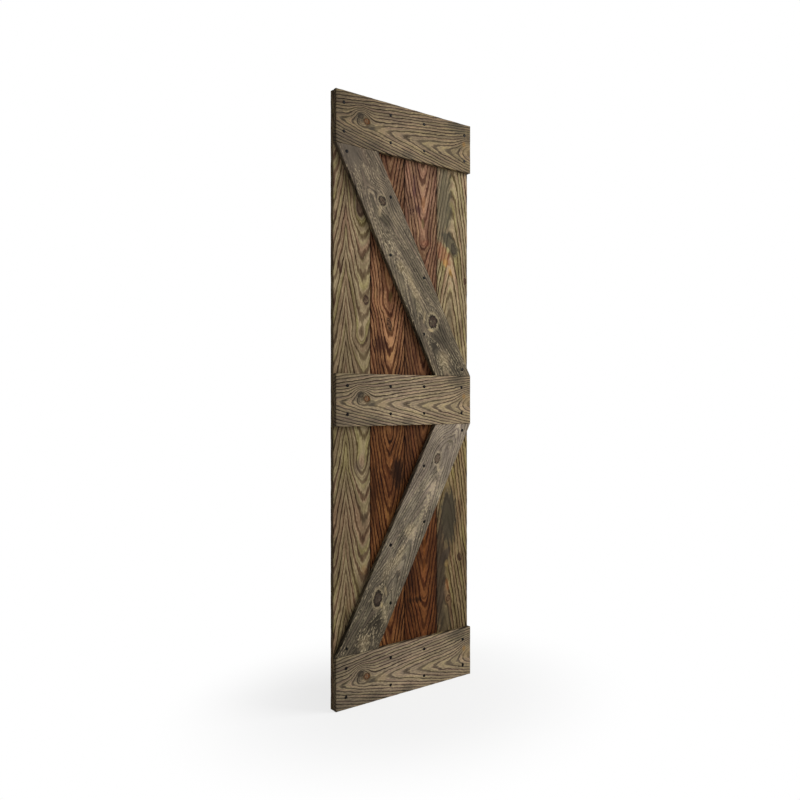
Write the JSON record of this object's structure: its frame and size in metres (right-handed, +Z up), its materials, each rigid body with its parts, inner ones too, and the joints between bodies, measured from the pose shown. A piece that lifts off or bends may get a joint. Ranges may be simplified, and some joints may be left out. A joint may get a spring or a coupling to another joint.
{
  "type": "barn door",
  "caption": "Rustic plank barn door leaf with level rails and a mirrored K of braces over tongue-and-groove boards, to hang from a sliding track.",
  "frame": {"origin": "middle of the top rail's front face, where hanger straps are bolted on", "axes": "+X to the right along the width as seen from the front, +Y from the front towards the back, +Z up along the boards"},
  "size_m": [0.6096, 0.0381, 2.1336],
  "materials": {
    "grey_board_wood": "stained, weathered olive-grey, matt",
    "red_board_wood": "stained red-brown, matt",
    "rail_wood": "stained, weathered tan and grey, matt",
    "brace_wood": "stained, weathered grey, matt",
    "screw_black": "black oxide, satin"
  },
  "bodies": {
    "root": {"left_board": "grey_board_wood", "inner_left_board": "red_board_wood", "inner_right_board": "red_board_wood", "right_board": "grey_board_wood", "top_rail": "rail_wood", "middle_rail": "rail_wood", "bottom_rail": "rail_wood", "upper_brace": "brace_wood", "lower_brace": "brace_wood"}
  },
  "joints": []
}
